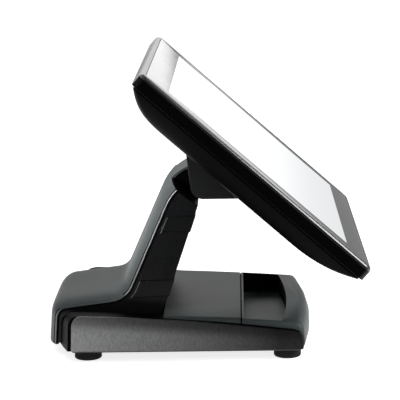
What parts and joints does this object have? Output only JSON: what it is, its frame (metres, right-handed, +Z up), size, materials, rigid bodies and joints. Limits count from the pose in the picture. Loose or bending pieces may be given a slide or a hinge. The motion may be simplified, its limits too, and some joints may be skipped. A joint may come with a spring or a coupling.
{
  "type": "pos touchscreen terminal",
  "caption": "Countertop point-of-sale terminal: a touchscreen head that tilts on a leaning hollow arm above a low weighted base with a front tray and rubber feet.",
  "frame": {"origin": "on the tabletop under the middle of the whole object's box, at the bottom of the feet", "axes": "+X is the width, to the operator's right; -Y is towards the operator, +Y is the rear; +Z is up"},
  "size_m": [0.361, 0.327, 0.3028],
  "materials": {
    "bezel_black": "black moulded plastic, fine satin gloss",
    "touch_glass": "polished dark-bordered touch glass over a lit picture",
    "lcd": "white display panel",
    "cover_black": "black moulded plastic, fine grain",
    "arm_black": "black moulded plastic, half gloss",
    "shell_grey": "satin dark grey moulded plastic, fine grain",
    "panel_brushed": "dark anodised aluminium with upright brushed lines",
    "steel": "zinc-plated steel sheet",
    "shaft_steel": "ground steel",
    "screw_steel": "black oxide steel",
    "board": "green circuit board",
    "heat_sink": "bare aluminium",
    "drive": "bare aluminium case",
    "connector": "nickel-plated connector shell",
    "inlet": "black socket",
    "base_plate": "black painted steel plate",
    "ballast": "rough cast weight",
    "rubber": "black rubber",
    "button": "satin grey button cap"
  },
  "bodies": {
    "base": {"hinge_shaft": "shaft_steel", "rear_cowl": "shell_grey", "arm_front_cover": "arm_black", "arm_band_upper": "arm_black", "arm_band_lower": "arm_black", "deck_cover": "shell_grey", "front_tray": "shell_grey", "base_plate": "base_plate", "ballast_plate": "ballast", "friction_washers_left": "shaft_steel", "hinge_nut_left": "shaft_steel", "arm_side_left": "arm_black", "spine_plate_left": "steel", "knuckle_cheek_left": "cover_black", "base_rail_left": "cover_black", "side_panel_left": "panel_brushed", "foot_front_left": "rubber", "foot_screw_front_left": "screw_steel", "foot_rear_left": "rubber", "foot_screw_rear_left": "screw_steel", "friction_washers_right": "shaft_steel", "hinge_nut_right": "shaft_steel", "arm_side_right": "arm_black", "spine_plate_right": "steel", "knuckle_cheek_right": "cover_black", "base_rail_right": "cover_black", "side_panel_right": "panel_brushed", "foot_front_right": "rubber", "foot_screw_front_right": "screw_steel", "foot_rear_right": "rubber", "foot_screw_rear_right": "screw_steel", "spine_tie_upper": "shaft_steel", "spine_tie_middle": "shaft_steel", "spine_tie_lower": "shaft_steel"},
    "head": {"front_bezel": "bezel_black", "touch_glass": "touch_glass", "lcd_panel": "lcd", "display_chassis": "steel", "rear_cover": "cover_black", "main_board": "board", "heat_sink": "heat_sink", "storage_drive": "drive", "speaker": "cover_black", "io_panel": "steel", "power_inlet": "inlet", "usb_port_left": "connector", "usb_port_right": "connector", "network_port": "connector", "serial_port": "connector", "hinge_cover": "cover_black", "switch_board": "board", "tilt_bracket_left": "steel", "tilt_bracket_right": "steel", "rear_cover_screw_1": "screw_steel", "rear_cover_screw_2": "screw_steel", "rear_cover_screw_3": "screw_steel", "rear_cover_screw_4": "screw_steel"},
    "power_button": {"power_button": "button"}
  },
  "joints": [
    {"name": "head_tilt", "type": "hinge", "parent": "base", "child": "head", "pos_m": [0, -0.001, 0.1745], "axis": [1, 0, 0], "range_deg": [-28, 20]},
    {"name": "power_button_press", "type": "slide", "parent": "head", "child": "power_button", "axis": [0, 0.7478, 0.6639], "range_m": [0, 0.0012], "stiffness_N_per_m": 800, "springref_m": -0.0008}
  ]
}
